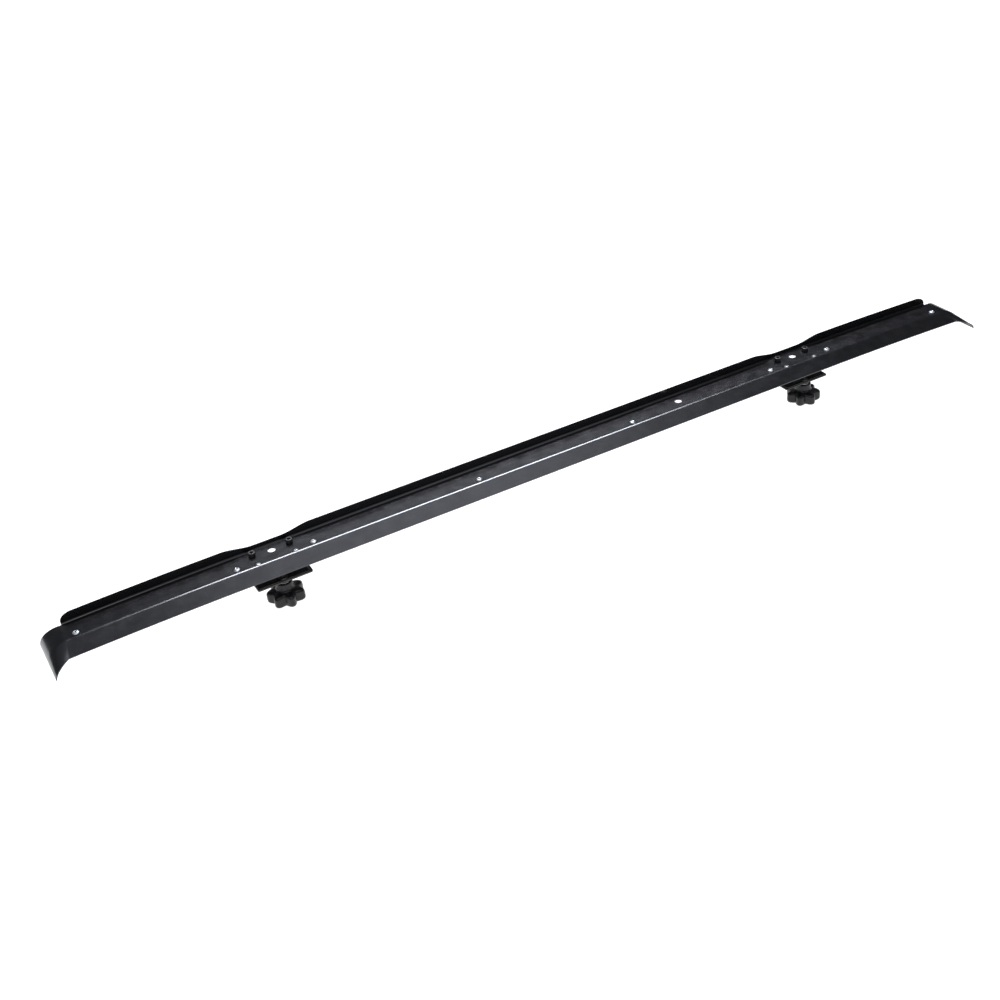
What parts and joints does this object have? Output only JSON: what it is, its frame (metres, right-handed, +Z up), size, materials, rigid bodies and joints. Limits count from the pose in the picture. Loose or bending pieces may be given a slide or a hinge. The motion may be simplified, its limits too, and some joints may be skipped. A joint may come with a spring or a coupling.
{
  "type": "ladder rack",
  "caption": "Clamp-on ladder rack cross bar with curled ends, a scalloped stop fence along the back and a star-knob screw clamp under each end.",
  "frame": {"origin": "midway along the bar, on the surface that the two knobs stand on, under the middle of the bar's depth", "axes": "+X along the bar, -Y towards the side that the ladder comes over, +Z up"},
  "size_m": [1.527, 0.085, 0.0775],
  "materials": {
    "black_coat": "semi-gloss black powder coat",
    "black_steel": "black oxide steel, lightly oiled",
    "bright_rivet": "bright plain aluminium",
    "zinc_steel": "zinc plated",
    "knob_plastic": "satin moulded black",
    "grip_rubber": "matte black"
  },
  "bodies": {
    "rack_bar": {"slide_cover": "black_coat", "fence_rail": "black_coat", "cover_rivet_1": "bright_rivet", "cover_rivet_2": "bright_rivet", "cover_rivet_3": "bright_rivet", "cover_rivet_4": "bright_rivet", "cover_rivet_5": "bright_rivet", "cover_rivet_6": "bright_rivet", "cover_rivet_7": "bright_rivet", "cover_rivet_8": "bright_rivet", "left_bracket": "black_coat", "left_nut_bar": "black_steel", "left_cap_screw_1": "black_steel", "left_cap_screw_2": "black_steel", "left_cap_nut_1": "black_steel", "left_cap_nut_2": "black_steel", "left_flat_screw_1": "black_steel", "left_flat_screw_2": "black_steel", "left_flat_nut_1": "black_steel", "left_flat_nut_2": "black_steel", "right_bracket": "black_coat", "right_nut_bar": "black_steel", "right_cap_screw_1": "black_steel", "right_cap_screw_2": "black_steel", "right_cap_nut_1": "black_steel", "right_cap_nut_2": "black_steel", "right_flat_screw_1": "black_steel", "right_flat_screw_2": "black_steel", "right_flat_nut_1": "black_steel", "right_flat_nut_2": "black_steel"},
    "left_jaw": {"left_clamp_plate": "black_coat", "left_grip_pad": "grip_rubber", "left_thrust_washer": "zinc_steel"},
    "left_knob_set": {"left_stud": "black_steel", "left_retaining_clip": "black_steel", "left_knob": "knob_plastic", "left_knob_cap": "knob_plastic"},
    "right_jaw": {"right_clamp_plate": "black_coat", "right_grip_pad": "grip_rubber", "right_thrust_washer": "zinc_steel"},
    "right_knob_set": {"right_stud": "black_steel", "right_retaining_clip": "black_steel", "right_knob": "knob_plastic", "right_knob_cap": "knob_plastic"}
  },
  "joints": [
    {"name": "left_jaw_slide", "type": "slide", "parent": "rack_bar", "child": "left_jaw", "axis": [0, 0, 1], "range_m": [-0.004, 0.0046]},
    {"name": "left_knob_turn", "type": "hinge", "parent": "left_jaw", "child": "left_knob_set", "pos_m": [-0.4433, -0.003, 0.0135], "axis": [0, 0, 1], "range_deg": [-1021, 1174]},
    {"name": "right_jaw_slide", "type": "slide", "parent": "rack_bar", "child": "right_jaw", "axis": [0, 0, 1], "range_m": [-0.004, 0.0046]},
    {"name": "right_knob_turn", "type": "hinge", "parent": "right_jaw", "child": "right_knob_set", "pos_m": [0.4433, -0.003, 0.0135], "axis": [0, 0, 1], "range_deg": [-1021, 1174]}
  ],
  "couplings": [
    {"joint": "left_knob_turn", "follows": "left_jaw_slide", "rad_per_m": 4452.7},
    {"joint": "right_knob_turn", "follows": "right_jaw_slide", "rad_per_m": 4452.7}
  ]
}
